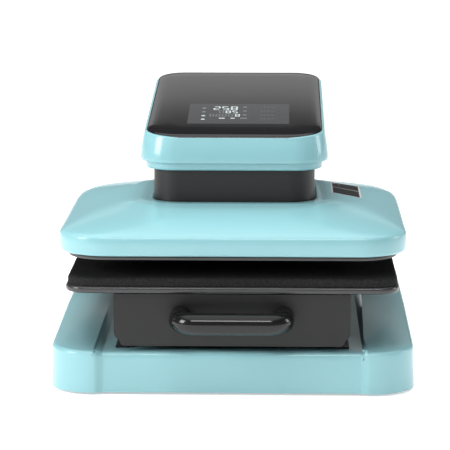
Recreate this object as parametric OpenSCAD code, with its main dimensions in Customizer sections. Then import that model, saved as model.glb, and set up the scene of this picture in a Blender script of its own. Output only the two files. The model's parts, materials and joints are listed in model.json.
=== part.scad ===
// Flatbed heat press with a C-shaped frame, a motor-driven heating head and a pull-out lower platen.
// X runs across the press, +Y to its back, +Z up. The origin is the middle of its footprint, on the floor.
// Every part is laid out from the front edge of the base deck and the floor of the base, and `placed`
// moves it into the frame above.

/* [Platens] */
// Side of the square lower platen
platen_w = 381; // [300:1:480]
// Thickness of the lower platen
platen_t = 8; // [5:0.5:12]
// Corner radius of the lower platen
platen_r = 25; // [10:1:40]
// Thickness of the press pad
pad_t = 10; // [6:0.5:16]
// How far the pad stays inside the edge of the lower platen
pad_inset = 2.5; // [1:0.5:8]
// Thickness of the heating platen
heater_t = 10; // [8:0.5:14]
// Corner radius of the heating platen
heater_r = 44; // [36:1:50]
// Open gap between the heating platen and the pad
daylight = 20.6; // [20.6:0.1:30]

/* [Base] */
// How far the base stands out beyond the platen on each side
base_margin = 19.5; // [12:0.5:30]
// Corner radius of the base in plan
base_r = 50; // [25:1:60]
// Height of the deck between the shoulders
deck_z = 46; // [42:1:60]
// How far the shoulders rise above the deck at the front
shoulder_front = 2; // [1:0.5:6]
// How far the shoulders rise above the deck at the back
shoulder_back = 10; // [7:0.5:16]
// Width of each shoulder
shoulder_w = 61; // [50:1:64]
// Height of the rubber feet
foot_h = 3; // [2:0.5:6]
// Radius of the rubber feet
foot_r = 18; // [12:1:24]

/* [Drawer] */
// Gap between a shoulder and the drawer front
drawer_gap = 14; // [8:1:20]
// Gap between the deck and the bottom of the drawer front
drawer_lift = 6; // [3:0.5:10]
// Height of the drawer from its bottom edge to the top of its tray
drawer_h = 60.4; // [58:0.1:80]
// Sheet thickness of the drawer
sheet_t = 2; // [1.5:0.5:3]
// Height of the telescopic slides
slide_h = 45; // [35:1:46]
// Diameter of the handle bar
handle_d = 25; // [18:0.5:27]
// Distance between the middles of the handle's posts
handle_span = 117; // [90:1:150]
// How far the middle of the handle bar stands out from the drawer front
handle_reach = 40; // [36:1:50]

/* [Press head] */
// How far the press cover stands out beyond the platen on each side
cover_margin = 6.5; // [6:0.5:16]
// Corner radius of the press cover in plan
cover_r = 54; // [48:1:60]
// How far the rim of the press cover stays above the face of the heating platen
rim_lift = 7.5; // [4:0.5:9]
// Height of the straight rim of the press cover
rim_h = 21; // [16:0.5:30]
// Rise of the press cover from its rim to its middle
dome_h = 19.5; // [18:0.5:30]
// Width of the neck
neck_w = 190; // [180:1:210]
// Depth of the neck
neck_d = 170; // [160:1:190]
// Corner radius of the neck
neck_r = 32; // [20:1:40]
// Height of the neck between the cover and the head
neck_show = 39.9; // [39.5:0.1:60]
// Gap between the neck and the opening of the press cover
neck_gap = 1.5; // [1:0.1:3]
// Width of the head
head_w = 221; // [214:1:250]
// Height of the head's recessed lower lip
lip_h = 9; // [8:0.5:14]
// Height of the head's front above the lip
head_h = 31; // [31:0.5:40]
// Slope of the head's top in degrees, rising to the back
head_slope = 6; // [4:0.1:7]
// Thickness of the glass on the head
glass_t = 4; // [3:0.5:5]
// Wall of the moulded shells
shell_t = 3; // [2:0.5:3.5]

/* [Drive] */
// Diameter of the lead screw
screw_d = 16; // [14:0.5:18]
// Height of the nut
nut_h = 30; // [26:1:30]
// Module of the gear pair
gear_module = 1.25; // [1.2:0.05:1.3]
// Teeth of the gear on the screw
gear_teeth = 40; // [36:1:42]
// Teeth of the gear on the motor
pinion_teeth = 20; // [18:1:22]
// Diameter of the gear motor
motor_d = 37; // [32:1:40]
// Diameter of the guide rods
rod_d = 12; // [10:0.5:14]
// Side of the square column posts
post_w = 40; // [35:1:44]
// Width of the column's cover
column_w = 184; // [176:1:200]

/* [Hidden] */
$fn = 48;
cut = 1;             // how far a cutting shape runs past the face it cuts
fit = 0.1;           // radial clearance of a screw in its hole
running = 0.05;      // radial clearance of a shaft in its bearing
assembly_gap = 0.5;  // clearance between shells, plates and frames

// Shank radii of the screws, and of the plug that holds a foot
m3_r = 1.5;
tapping_r = 1.8;
m4_r = 2;
m5_r = 2.5;
m6_r = 3;
m8_r = 4;
foot_plug_r = 4;

mint = "paleturquoise";

// Plan of the base
base_front = -8;
base_w = platen_w + 2 * base_margin;
channel_w = base_w - 2 * shoulder_w;
platen_front = -3;
press_y = platen_front + platen_w / 2;
cover_w = platen_w + 2 * cover_margin;
cover_front = press_y - cover_w / 2 + 3;
cover_back = press_y + cover_w / 2;
column_gap = 16;
column_front = cover_back + column_gap;
column_d = 76;
column_back = column_front + column_d;
base_back = column_back + 6;
post_x = 60;
post_y = column_front + 33;
front_step = 5;

// Drawer, from the deck up
drawer_w = channel_w - 2 * drawer_gap;
drawer_z = deck_z + drawer_lift;
tray_z = drawer_z + drawer_h;
drawer_y = 6;
spacer_t = 2;
platen_z = tray_z + spacer_t;
pad_z = platen_z + platen_t;
bracket_t = 2.5;
bracket_foot = 16;
bracket_x = drawer_w / 2 - bracket_foot - 1;
slide_front = drawer_y + 2 * sheet_t + 2;
slide_l = platen_w - 8;
slide_clear = 7.4;
slide_z = tray_z - slide_clear - slide_h;
outer_t = 1.6;
mid_t = 1.5;
inner_t = 1.6;
mid_x = bracket_x - outer_t - 1.6;
slide_w = 11.1;
inner_x = bracket_x - slide_w;
tray_side_x = inner_x - inner_t;
tray_back = platen_front + platen_w - 6;
handle_y = drawer_y - handle_reach;
handle_lift = 34.5;
handle_z = drawer_z + handle_lift;
handle_bend = 20;
spacer_x = platen_w / 2 - 80;

// Footprint, which sets where the origin lies
front_y = handle_y - handle_d / 2;
mid_y = (front_y + base_back) / 2;

// Press head at rest, from the pad up
heater_z = pad_z + pad_t + daylight;
heater_w = platen_w - 5;
insul_t = 6;
insul_inset = 3;
insul_z = heater_z + heater_t;
insul_w = heater_w - 2 * insul_inset;
plate_t = 5;
plate_z = insul_z + insul_t;
plate_w = platen_w - 61;
plate_top = plate_z + plate_t;
rim_z = heater_z + rim_lift;
skirt_z = heater_z + 3;
skirt_h = 14;
dome_z = rim_z + rim_h;
cover_top = dome_z + dome_h;
boss_x = plate_w / 2 - 15;
neck_bottom = plate_top + 1.5;
neck_lip = 10;
head_z = cover_top + neck_show;
head_front = press_y - neck_d / 2 - 14.5;
lip_inset = 6.6;
band_z = head_z + lip_h;
head_top = band_z + head_h;
head_r = 42;
glass_w = head_w - 13.4;
glass_front = head_front + 5;
glass_back = column_back - 38;
glass_r = 34;
display_t = 4;
board_t = 1.6;

// Frame and drive
pan_t = 1.5;
rail_h = 25;
arm_t = 6;
arm_z = head_z + 11;
arm_w = 158;
post_z = pan_t + rail_h;
arm_front = press_y - 72;
rod_x = neck_w / 2 - 33;
rod_y = neck_d / 2 - 33;
rod_top = arm_z + arm_t + 16;
bush_r = rod_d / 2 + 4;
bush_z = arm_z - 12;
bush_h = 22;
screw_z = plate_z + 2;
journal_r = screw_d / 2 - 2;
gear_z = arm_z + arm_t + 6;
gear_h = 10;
backlash = 0.12;
gear_distance = gear_module * (gear_teeth + pinion_teeth) / 2;
motor_y = press_y + gear_distance;
motor_h = 60;
shaft_depth = 24;
pinion_bore = 4;
bearing_r = 14;
nut_r = 16;
nut_flange_r = 24;

// Electrical fittings in the back of the column
back_t = 2;
back_y = column_back - back_t;
inlet_z = deck_z + 30;
inlet_x = -34;
inlet_w = 28;
inlet_h = 20;
inlet_depth = 18;
switch_x = 34;
switch_w = 20;
switch_h = 28;
rocker_r = 8;

module placed() {
    translate([0, -mid_y, foot_h]) children();
}

module both_sides() {
    children();
    mirror([1, 0, 0]) children();
}

// Four copies around the middle of the platens
module at_corners(x, y) {
    for (sx = [-1, 1], sy = [-1, 1]) translate([sx * x, press_y + sy * y, 0]) children();
}

// Rounded rectangle between two depths, with its own radii at the front and at the back
module plan(w, front, back, front_r, back_r) {
    translate([-w / 2, front + front_r]) square([w, back - front - front_r - back_r]);
    translate([-w / 2 + front_r, front]) square([w - 2 * front_r, front_r + 1]);
    translate([-w / 2 + back_r, back - back_r - 1]) square([w - 2 * back_r, back_r + 1]);
    for (s = [-1, 1]) {
        translate([s * (w / 2 - front_r), front + front_r]) circle(front_r, $fn = 96);
        translate([s * (w / 2 - back_r), back - back_r]) circle(back_r, $fn = 96);
    }
}

// Flat plate on that plan
module plate(w, front, back, z, t, r) {
    translate([0, 0, z]) linear_extrude(t) plan(w, front, back, r, r);
}

// Extrudes a depth-height outline across the press
module across(w) {
    translate([-w / 2, 0, 0]) rotate([90, 0, 90]) linear_extrude(w) children();
}

module box(x0, x1, y0, y1, z0, z1) {
    translate([x0, y0, z0]) cube([x1 - x0, y1 - y0, z1 - z0]);
}

// Screw with its head on top and its shank below the seat
module screw(shank_r, shank_l, head_r, head_h) {
    cylinder(r = head_r, h = head_h);
    translate([0, 0, -shank_l]) cylinder(r = shank_r, h = shank_l + head_h / 2);
}

// ---- base ----

// Outside form of the base, or the space inside its wall when inset by the wall
module base_form(inset) {
    back_h = deck_z + shoulder_back - inset;
    front_h = deck_z + shoulder_front - inset;
    half = channel_w / 2 + inset;
    difference() {
        intersection() {
            translate([0, 0, -inset]) linear_extrude(back_h + inset + cut)
                plan(base_w - 2 * inset, base_front + inset, base_back - inset, base_r - inset, base_r / 2);
            across(base_w) polygon([
                [base_front - cut, -inset], [base_back + cut, -inset],
                [base_back + cut, back_h], [press_y + 60, back_h], [base_front - cut, front_h]
            ]);
        }
        box(-half, half, base_front - cut, base_back + cut, deck_z - inset, back_h + 2 * cut);
        box(-half - 2, half + 2, base_front - cut, base_front + front_step + inset, -inset - cut,
            deck_z + cut);
    }
}

module at_pan_screws() {
    for (s = [-1, 1], y = [base_front + 62, base_back - 50]) translate([s * (base_w / 2 - 28), y, 0])
        children();
}

module at_feet() {
    for (s = [-1, 1], y = [base_front + 68, base_back - 62]) translate([s * (base_w / 2 - 62), y, 0])
        children();
}

module at_rail_screws() {
    for (s = [-1, 1], y = [cross_front, cross_back]) translate([s * (bracket_x + bracket_foot - 7), y, 0])
        children();
}
cross_front = press_y - 118;
cross_back = press_y + 142;

module base_shell() {
    color(mint) placed() difference() {
        union() {
            difference() {
                base_form(0);
                base_form(shell_t);
            }
            intersection() {
                at_pan_screws() translate([0, 0, pan_t]) cylinder(r = 6, h = deck_z + shoulder_back);
                base_form(1);
            }
        }
        at_pan_screws() cylinder(r = m4_r, h = deck_z / 2);
        for (s = [-1, 1]) translate([s * post_x, post_y, deck_z])
            cube([post_w + 2 * assembly_gap, post_w + 2 * assembly_gap, 4 * shell_t], center = true);
        at_rail_screws() translate([0, 0, deck_z - 2 * shell_t]) cylinder(r = m5_r + fit, h = 3 * shell_t);
    }
}

module base_pan() {
    inset = shell_t + assembly_gap;
    color("dimgray") placed() difference() {
        linear_extrude(pan_t)
            plan(base_w - 2 * inset, base_front + front_step + inset, base_back - inset, base_r - inset,
                base_r / 2);
        at_pan_screws() translate([0, 0, -cut]) cylinder(r = m4_r + fit, h = pan_t + 2 * cut);
        at_feet() translate([0, 0, -cut]) cylinder(r = foot_plug_r + fit, h = pan_t + 2 * cut);
        for (s = [-1, 1], i = [0 : 7]) translate([s * 90 + (i - 3.5) * 9, press_y, -cut])
            translate([-1.5, -30, 0]) cube([3, 60, pan_t + 2 * cut]);
    }
}

module feet() {
    color("black") placed() at_feet() {
        translate([0, 0, -foot_h]) cylinder(r = foot_r, h = foot_h);
        cylinder(r = foot_plug_r, h = pan_t);
        translate([0, 0, pan_t]) cylinder(r = foot_plug_r + 1.5, h = 2.5);
    }
}

module pan_screws() {
    color("silver") placed() at_pan_screws() mirror([0, 0, 1]) screw(m4_r, 14, 4, 2);
}

module tube_along_y(x, w, y0, y1, z0, h, wall) {
    difference() {
        box(x - w / 2, x + w / 2, y0, y1, z0, z0 + h);
        box(x - w / 2 + wall, x + w / 2 - wall, y0 - cut, y1 + cut, z0 + wall, z0 + h - wall);
    }
}

// Two long tubes under the column, joined by taller cross tubes that carry the drawer rails
module base_frame() {
    half = bracket_x + bracket_foot - 1;
    top = deck_z - shell_t;
    wall = 2;
    color("dimgray") placed() difference() {
        union() {
            for (s = [-1, 1]) tube_along_y(s * post_x, post_w, cross_front - 15, post_y + post_w / 2,
                pan_t, rail_h, wall);
            for (y = [cross_front, cross_back]) difference() {
                box(-half, half, y - 15, y + 15, pan_t, top);
                box(-half - cut, half + cut, y - 15 + wall, y + 15 - wall, pan_t + wall, top - wall);
            }
        }
        at_rail_screws() translate([0, 0, top - 2 * wall]) cylinder(r = m5_r + fit, h = 3 * wall);
    }
}

// ---- drawer rails ----

module rail_brackets() {
    color("silver") placed() difference() {
        both_sides() {
            box(bracket_x, bracket_x + bracket_t, slide_front + 10, slide_front + slide_l - 10, deck_z,
                slide_z + slide_h);
            box(bracket_x, bracket_x + bracket_foot, slide_front + 10, slide_front + slide_l - 10,
                deck_z, deck_z + bracket_t);
        }
        at_rail_screws() translate([0, 0, deck_z - cut]) cylinder(r = m5_r + fit, h = bracket_t + 2 * cut);
    }
}

module rail_screws() {
    color("silver") placed() at_rail_screws() translate([0, 0, deck_z + bracket_t]) screw(m5_r, 9, 4.5, 3);
}

// Channel section along the drawer, with its web at x and its flanges turned by `reach`
module channel(x, reach, web_t, h, flange_t) {
    z0 = slide_z + (slide_h - h) / 2;
    lo = min(x, x + reach);
    hi = max(x, x + reach);
    web = reach < 0 ? x - web_t : x;
    box(web, web + web_t, slide_front, slide_front + slide_l, z0, z0 + h);
    box(lo, hi, slide_front, slide_front + slide_l, z0, z0 + flange_t);
    box(lo, hi, slide_front, slide_front + slide_l, z0 + h - flange_t, z0 + h);
}

module slide_outer() {
    channel(bracket_x, -9, outer_t, slide_h, 1.5);
}

module slide_mid() {
    channel(mid_x, -7.5, mid_t, slide_h - 4, 1.2);
}

module slide_inner() {
    channel(tray_side_x, 6.6, inner_t, slide_h - 11, 1.2);
}

module slide_outer_left() { color("silver") placed() mirror([1, 0, 0]) slide_outer(); }
module slide_outer_right() { color("silver") placed() slide_outer(); }
module slide_mid_left() { color("silver") placed() mirror([1, 0, 0]) slide_mid(); }
module slide_mid_right() { color("silver") placed() slide_mid(); }
module slide_inner_left() { color("silver") placed() mirror([1, 0, 0]) slide_inner(); }
module slide_inner_right() { color("silver") placed() slide_inner(); }

// ---- drawer ----

module at_spacers() {
    at_corners(spacer_x, spacer_x) children();
}

module at_handle_posts() {
    for (s = [-1, 1]) translate([s * handle_span / 2, 0, handle_z]) children();
}

module drawer_tray() {
    front = drawer_y + sheet_t;
    color("dimgray") placed() difference() {
        union() {
            box(-drawer_w / 2 + 1, drawer_w / 2 - 1, front, tray_back, tray_z - sheet_t, tray_z);
            box(-8, 8, tray_back - sheet_t, tray_back, deck_z + 10, tray_z);
            box(-tray_side_x, tray_side_x, front, front + sheet_t, handle_z - 10, tray_z);
            both_sides() box(tray_side_x - sheet_t, tray_side_x, front, slide_front + slide_l,
                slide_z + 6, tray_z);
        }
        at_handle_posts() rotate([-90, 0, 0]) cylinder(r = m5_r + fit, h = 3 * front);
        at_spacers() translate([0, 0, tray_z - 2 * sheet_t]) cylinder(r = m6_r + fit, h = 3 * sheet_t);
    }
}

// Front panel with rounded lower corners and a narrower lower edge
module drawer_front() {
    edge = 6;
    step = 6.5;
    corner = 10;
    half = drawer_w / 2;
    color("black") placed() difference() {
        translate([0, drawer_y + sheet_t, 0]) rotate([90, 0, 0]) linear_extrude(sheet_t) {
            translate([-half, drawer_z + edge + corner])
                square([drawer_w, tray_z - drawer_z - edge - corner]);
            translate([-half + corner, drawer_z + edge]) square([drawer_w - 2 * corner, corner + 1]);
            for (s = [-1, 1]) translate([s * (half - corner), drawer_z + edge + corner]) circle(corner);
            translate([-half + step + edge, drawer_z]) square([drawer_w - 2 * step - 2 * edge, edge + 1]);
            for (s = [-1, 1]) translate([s * (half - step - edge), drawer_z + edge]) circle(edge);
        }
        at_handle_posts() rotate([-90, 0, 0]) cylinder(r = m5_r + fit, h = 3 * drawer_y);
    }
}

// Round bar bent to a D, with a blind hole in the end of each post
module handle() {
    bend_y = handle_y + handle_bend;
    color("black") placed() difference() {
        union() {
            translate([-handle_span / 2 + handle_bend, handle_y, handle_z]) rotate([0, 90, 0])
                cylinder(d = handle_d, h = handle_span - 2 * handle_bend);
            both_sides() {
                translate([handle_span / 2 - handle_bend, bend_y, handle_z]) rotate([0, 0, -90])
                    rotate_extrude(angle = 90, $fn = 96) translate([handle_bend, 0]) circle(d = handle_d);
                translate([handle_span / 2, drawer_y, handle_z]) rotate([90, 0, 0])
                    cylinder(d = handle_d, h = drawer_y - bend_y);
            }
        }
        at_handle_posts() translate([0, drawer_y - 9, 0]) rotate([-90, 0, 0])
            cylinder(r = m5_r + fit, h = 10);
    }
}

module handle_screws() {
    color("silver") placed() at_handle_posts() translate([0, drawer_y + 2 * sheet_t, 0]) rotate([-90, 0, 0])
        screw(m5_r, 2 * sheet_t + 8, 4.5, 3);
}

module platen_spacers() {
    color("black") placed() difference() {
        at_spacers() translate([0, 0, tray_z]) cylinder(r = 12, h = spacer_t);
        at_spacers() translate([0, 0, tray_z - cut]) cylinder(r = m6_r + fit, h = spacer_t + 2 * cut);
    }
}

module platen_screws() {
    color("silver") placed() at_spacers() translate([0, 0, tray_z - sheet_t]) mirror([0, 0, 1])
        screw(m6_r, sheet_t + spacer_t + platen_t / 2, 5, 3);
}

module lower_platen() {
    color("dimgray") placed() difference() {
        plate(platen_w, platen_front, platen_front + platen_w, platen_z, platen_t, platen_r);
        at_spacers() translate([0, 0, platen_z - cut]) cylinder(r = m6_r + fit, h = platen_t / 2 + 1.5);
    }
}

module press_pad() {
    color("black") placed() plate(platen_w - 2 * pad_inset, platen_front + pad_inset,
        platen_front + platen_w - pad_inset, pad_z, pad_t, platen_r - pad_inset);
}

// Magnetic switch that the tray's back tongue faces when the drawer is shut
module drawer_sensor() {
    color("black") placed() {
        box(-10, 10, tray_back + 2, tray_back + 11, deck_z, deck_z + 24);
        box(-16, 16, tray_back + 2, tray_back + 11, deck_z, deck_z + 3);
    }
}

// ---- column ----

module column_posts() {
    wall = 3;
    cap = 10;
    color("dimgray") placed() difference() {
        for (s = [-1, 1]) translate([s * post_x - post_w / 2, post_y - post_w / 2, post_z]) difference() {
            cube([post_w, post_w, arm_z - post_z]);
            translate([wall, wall, -cut]) cube([post_w - 2 * wall, post_w - 2 * wall,
                arm_z - post_z - cap + cut]);
        }
        at_arm_bolts() translate([0, 0, arm_z - cap - cut]) cylinder(r = m8_r + fit, h = cap + 2 * cut);
    }
}

module at_arm_bolts() {
    for (s = [-1, 1], y = [-10, 10]) translate([s * post_x, post_y + y, 0]) children();
}

module arm_bolts() {
    color("silver") placed() at_arm_bolts() translate([0, 0, arm_z + arm_t]) screw(m8_r, arm_t + 9, 6.5, 5);
}

module column_shell() {
    color(mint) placed() difference() {
        translate([0, 0, deck_z]) linear_extrude(head_z - deck_z)
            plan(column_w, column_front, back_y, 20, 4);
        translate([0, 0, deck_z - cut]) linear_extrude(head_z - deck_z + 2 * cut)
            plan(column_w - 2 * shell_t, column_front + shell_t, back_y + 20, 20 - shell_t, 2);
    }
}

module at_back_screws() {
    for (s = [-1, 1], z = [deck_z + 12, head_z - 12]) translate([s * (column_w / 2 - 10), back_y, z])
        children();
}

module rows_of_vents() {
    for (s = [-1, 1], i = [0 : 8]) translate([s * 34 - 22, -cut, 60 + i * 8])
        cube([44, back_t + 2 * cut, 3]);
}

module column_back_cover() {
    half = column_w / 2;
    color("black") placed() {
        difference() {
            box(-half, half, back_y, column_back, deck_z, head_z);
            translate([0, back_y, deck_z]) rows_of_vents();
            translate([inlet_x - inlet_w / 2 - fit, back_y - cut, inlet_z - inlet_h / 2 - fit])
                cube([inlet_w + 2 * fit, back_t + 2 * cut, inlet_h + 2 * fit]);
            translate([switch_x - switch_w / 2 - fit, back_y - cut, inlet_z - switch_h / 2 - fit])
                cube([switch_w + 2 * fit, back_t + 2 * cut, switch_h + 2 * fit]);
            at_back_screws() rotate([-90, 0, 0]) translate([0, 0, -cut])
                cylinder(r = tapping_r + fit, h = back_t + 2 * cut);
            at_board_screws() translate([0, back_y - cut, 0]) rotate([-90, 0, 0])
                cylinder(r = m3_r + fit, h = 4 * back_t);
        }
        at_back_screws() rotate([90, 0, 0]) difference() {
            cylinder(r = 4, h = 10);
            translate([0, 0, -cut]) cylinder(r = tapping_r + fit, h = 10 + 2 * cut);
        }
    }
}

module back_cover_screws() {
    color("silver") placed() {
        at_back_screws() translate([0, back_t, 0]) rotate([-90, 0, 0]) screw(tapping_r, 9, 3.5, 2);
        at_board_screws() translate([0, column_back, 0]) rotate([-90, 0, 0]) screw(m3_r, 7, 3, 1.6);
    }
}

// Three-pin appliance inlet with its socket open to the back
module mains_inlet() {
    color("black") placed() translate([inlet_x, column_back, inlet_z]) {
        difference() {
            union() {
                translate([-inlet_w / 2, -back_t - inlet_depth, -inlet_h / 2])
                    cube([inlet_w, back_t + inlet_depth, inlet_h]);
                translate([-inlet_w / 2 - 3, 0, -inlet_h / 2 - 3]) cube([inlet_w + 6, 3, inlet_h + 6]);
            }
            translate([-inlet_w / 2 + 2, -inlet_depth + 2, -inlet_h / 2 + 2])
                cube([inlet_w - 4, inlet_depth + 6, inlet_h - 4]);
        }
        for (x = [-7, 0, 7]) translate([x - 1, -inlet_depth, x == 0 ? 0 : -4]) cube([2, 13, 4]);
    }
}

module switch_housing() {
    color("black") placed() translate([switch_x, column_back, inlet_z]) difference() {
        union() {
            translate([-switch_w / 2, -back_t - 16, -switch_h / 2]) cube([switch_w, back_t + 16, switch_h]);
            translate([-switch_w / 2 - 2, 0, -switch_h / 2 - 2]) cube([switch_w + 4, 2, switch_h + 4]);
        }
        translate([-switch_w / 2 + 2, -12, -switch_h / 2 + 2]) cube([switch_w - 4, 20, switch_h - 4]);
        translate([-switch_w / 2 - cut, -5, 0]) rotate([0, 90, 0])
            cylinder(r = 1.5 + running, h = switch_w + 2 * cut);
    }
}

// Rocker with two faces at a shallow angle, turning on its own pin
module power_rocker() {
    half_w = switch_w / 2 - 2 - 0.4;
    reach = switch_h / 2 - 2 - 1.6;
    tip = 4.6;
    color("black") placed() translate([switch_x, column_back - 5, inlet_z]) {
        translate([-half_w, 0, 0]) rotate([90, 0, 90]) linear_extrude(2 * half_w)
            polygon([[-2, -reach], [tip, -reach], [tip - 1.4, 0], [tip + 1.8, reach], [0, reach], [-3, 0]]);
        translate([-switch_w / 2 + 0.3, 0, 0]) rotate([0, 90, 0]) cylinder(r = 1.5, h = switch_w - 0.6);
    }
}

module at_board_screws() {
    for (s = [-1, 1], z = [145, 185]) translate([s * 30, 0, deck_z + z]) children();
}

// Supply board on four standoffs behind the column's back cover
module power_board() {
    y = back_y - 10;
    color("darkgreen") placed() {
        difference() {
            union() {
                box(-36, 36, y - 1.6, y, deck_z + 138, deck_z + 192);
                at_board_screws() translate([0, back_y, 0]) rotate([90, 0, 0]) cylinder(r = 3.5, h = 10.1);
            }
            at_board_screws() translate([0, back_y + cut, 0]) rotate([90, 0, 0])
                cylinder(r = m3_r + fit, h = 14);
        }
        box(-14, 14, y - 22, y - 1.6, deck_z + 150, deck_z + 176);
        translate([24, y - 1.5, deck_z + 156]) rotate([90, 0, 0]) cylinder(r = 6, h = 20);
        translate([24, y - 1.5, deck_z + 172]) rotate([90, 0, 0]) cylinder(r = 6, h = 20);
        box(-30, -18, y - 14, y - 1.6, deck_z + 152, deck_z + 176);
    }
}

// ---- arm and head ----

// Steel channel from the posts to the neck, which carries the screw, the motor and the guide bushings
module arm_frame() {
    half = arm_w / 2;
    color("dimgray") placed() difference() {
        union() {
            box(-half, half, arm_front, post_y + post_w / 2, arm_z, arm_z + arm_t);
            both_sides() box(half - 3, half, arm_front + 10, post_y + post_w / 2, arm_z, arm_z + 24);
        }
        at_corners(rod_x, rod_y) translate([0, 0, arm_z - cut]) cylinder(r = bush_r, h = arm_t + 2 * cut);
        translate([0, press_y, arm_z - cut]) cylinder(r = bearing_r, h = arm_t + 2 * cut);
        translate([0, motor_y, arm_z - cut]) cylinder(r = 8, h = arm_t + 2 * cut);
        at_arm_bolts() translate([0, 0, arm_z - cut]) cylinder(r = m8_r + fit, h = arm_t + 2 * cut);
        at_standoffs() translate([0, 0, arm_z - cut]) cylinder(r = m4_r + fit, h = arm_t + 2 * cut);
    }
}

// Outside form of the head between two heights, or its inside when inset
module head_form(inset, bottom) {
    slope = tan(head_slope);
    front = head_front + inset;
    back = column_back - inset;
    top_front = head_top - inset;
    top_back = top_front + (glass_back + 8 - head_front) * slope;
    intersection() {
        translate([0, 0, bottom]) linear_extrude(100)
            plan(head_w - 2 * inset, front, back, head_r - inset, 28 - inset);
        across(head_w) polygon([
            [front, bottom], [back, bottom], [back, top_back - 28], [back - 8, top_back - 14],
            [glass_back + 8, top_back], [front + 8, top_front + 8 * slope + 1], [front, top_front - 6]
        ]);
    }
}

// Glass outline, tilted with the head's top
module on_slope(lift) {
    translate([0, head_front, head_top]) rotate([head_slope, 0, 0])
        translate([0, -head_front, lift]) children();
}

module head_lower_shell() {
    opening_r = neck_r - neck_lip;
    color(mint) placed() difference() {
        union() {
            difference() {
                translate([0, 0, head_z]) linear_extrude(lip_h)
                    plan(head_w - 2 * lip_inset, head_front + lip_inset, column_back, head_r - lip_inset, 20);
                translate([0, 0, head_z + shell_t]) linear_extrude(lip_h)
                    plan(head_w - 2 * lip_inset - 2 * shell_t,
                    head_front + lip_inset + shell_t, column_back - shell_t, head_r - lip_inset - shell_t, 18);
            }
            at_standoffs() translate([0, 0, head_z]) cylinder(r = 6, h = arm_z - head_z);
        }
        translate([0, 0, head_z - cut]) linear_extrude(3 * shell_t) plan(neck_w - 2 * neck_lip,
            press_y - neck_d / 2 + neck_lip, press_y + neck_d / 2 - neck_lip, opening_r, opening_r);
        at_standoffs() translate([0, 0, head_z - cut]) cylinder(r = m4_r + fit, h = arm_z - head_z + 2 * cut);
        at_neck_screws() translate([0, 0, head_z - cut]) cylinder(r = tapping_r + fit, h = 3 * shell_t);
        for (s = [-1, 1]) translate([s * post_x, post_y, head_z])
            cube([post_w + 2 * assembly_gap, post_w + 2 * assembly_gap, 4 * shell_t], center = true);
        at_head_screws() translate([0, 0, head_z - cut]) cylinder(r = m3_r + fit, h = 3 * shell_t);
        for (s = [-1, 1]) translate([s * 36 - 8, head_front + lip_inset - cut, head_z + lip_h - 3])
            cube([16, 2, 4]);
    }
}

// Each screw's place on the right half, and the way its boss's rib runs out to the wall
head_screw_places = [[head_w / 2 - 22, head_front + 21.5, -45], [head_w / 2 - 15, column_back - 100, 0]];

// Standoffs that hold the lower shell up to the arm, behind the neck
module at_standoffs() {
    for (s = [-1, 1], y = [press_y + neck_d / 2 + 14, post_y - 50])
        translate([s * (arm_w / 2 - 12), y, 0]) children();
}

module at_head_screws() {
    both_sides() for (p = head_screw_places) translate([p[0], p[1], 0]) rotate(p[2]) children();
}

module head_shell() {
    rim = 7;
    color(mint) placed() difference() {
        union() {
            difference() {
                head_form(0, band_z);
                head_form(shell_t, band_z - cut);
            }
            intersection() {
                head_form(1, band_z);
                at_head_screws() translate([0, 0, band_z]) {
                    cylinder(r = 4, h = 22);
                    translate([0, -2, 0]) cube([head_w / 10, 4, 22]);
                }
            }
        }
        on_slope(-1) linear_extrude(20) plan(glass_w + 1, glass_front - 0.5, glass_back + 0.5, glass_r, 25);
        on_slope(-14) linear_extrude(30)
            plan(glass_w - 2 * rim, glass_front + rim + 4, glass_back - rim, glass_r - rim, 20);
        at_head_screws() translate([0, 0, band_z - cut]) cylinder(r = m3_r + fit, h = 20);
    }
}

module head_screws() {
    color("silver") placed() translate([0, 0, head_z]) {
        at_head_screws() mirror([0, 0, 1]) screw(m3_r, lip_h + 8, 2.8, 1.6);
        at_standoffs() mirror([0, 0, 1]) screw(m4_r, arm_z - head_z + arm_t, 4, 2);
    }
}

module glass_panel() {
    color("black") placed() on_slope(-1)
        linear_extrude(glass_t) plan(glass_w, glass_front, glass_back, glass_r, 25);
}

module display_module() {
    color("black") placed() on_slope(-1 - display_t)
        translate([-58, glass_front + 47, 0]) cube([124, 108, display_t]);
}

module control_board() {
    color("darkgreen") placed() on_slope(-1 - display_t - board_t) {
        translate([-62, glass_front + 42, 0]) cube([132, 118, board_t]);
        translate([-40, glass_front + 120, -4]) cube([24, 24, 4]);
        translate([20, glass_front + 124, -3]) cube([30, 16, 3]);
    }
}

// Sleeve between the head and the press cover, with an inward flange at its top
module neck_sleeve() {
    wall = 2.5;
    front = press_y - neck_d / 2;
    back = press_y + neck_d / 2;
    color("black") placed() difference() {
        translate([0, 0, neck_bottom]) linear_extrude(head_z - neck_bottom)
            plan(neck_w, front, back, neck_r, neck_r);
        translate([0, 0, neck_bottom - cut]) linear_extrude(head_z - neck_bottom - wall + cut)
            plan(neck_w - 2 * wall, front + wall, back - wall, neck_r - wall, neck_r - wall);
        translate([0, 0, neck_bottom - cut]) linear_extrude(head_z - neck_bottom + 2 * cut)
            plan(neck_w - 2 * neck_lip, front + neck_lip, back - neck_lip, neck_r - neck_lip,
                neck_r - neck_lip);
        at_neck_screws() translate([0, 0, head_z - 2 * wall]) cylinder(r = tapping_r + fit, h = 3 * wall);
    }
}

module at_neck_screws() {
    at_corners(neck_w / 2 - neck_lip / 2, neck_d / 2 - 50) children();
}

module neck_screws() {
    color("silver") placed() at_neck_screws() translate([0, 0, head_z + shell_t])
        screw(tapping_r, shell_t + 4, 3.2, 2);
}

// ---- drive ----

function polar(r, a) = [r * cos(a), r * sin(a)];
function involute(a) = tan(a) * 180 / PI - a;

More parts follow.
